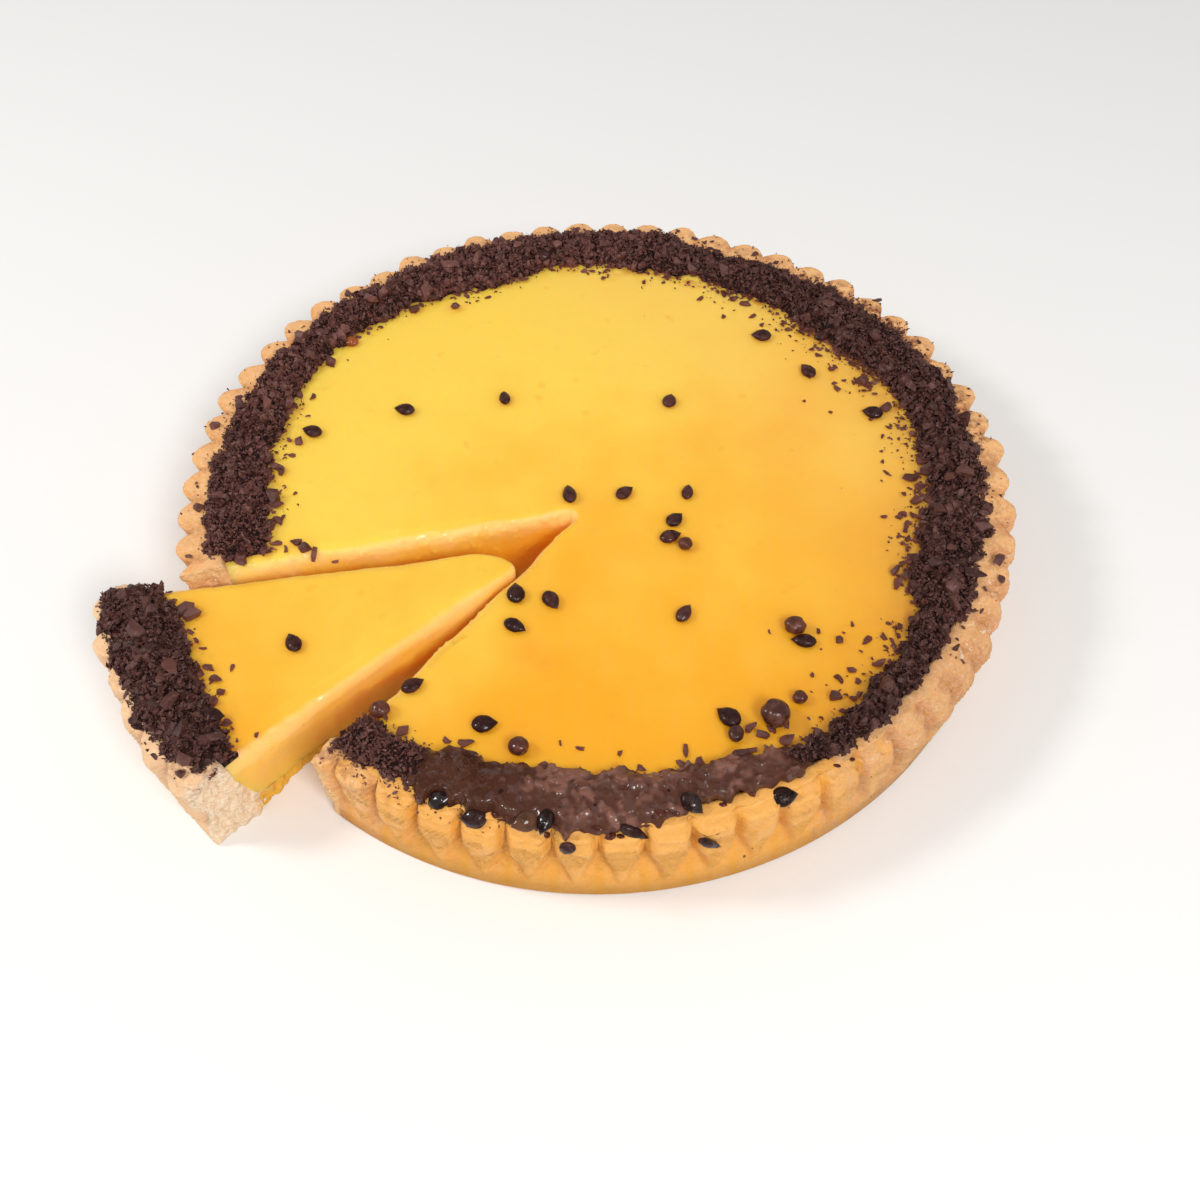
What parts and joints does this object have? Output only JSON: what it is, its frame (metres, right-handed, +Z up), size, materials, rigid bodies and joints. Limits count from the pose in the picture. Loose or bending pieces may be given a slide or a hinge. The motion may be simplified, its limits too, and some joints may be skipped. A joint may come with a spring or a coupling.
{
  "type": "passion fruit tart",
  "caption": "Round fluted custard tart with a chocolate shaving rim, seeds on top and one slice drawn part way out.",
  "frame": {"origin": "centre of the whole tart on its flat underside", "axes": "+Z up, -Y towards the side that the slice's notch opens near, the notch opens towards -X and -Y"},
  "size_m": [0.2466, 0.2269, 0.0345],
  "materials": {
    "crust": "baked shortcrust pastry, matt, pale golden",
    "custard": "set custard, smooth, glossy yellow",
    "chocolate": "dark chocolate shavings, dull with a soft sheen",
    "seed": "passion fruit seeds, dark brown, satin to wet",
    "syrup": "thin clear orange syrup, wet gloss"
  },
  "bodies": {
    "root": {"crust": "crust", "custard": "custard", "chocolate_heap": "chocolate", "chocolate_pearl": "chocolate", "slice_crust": "crust", "slice_custard": "custard", "slice_chocolate_heap": "chocolate"}
  },
  "joints": []
}
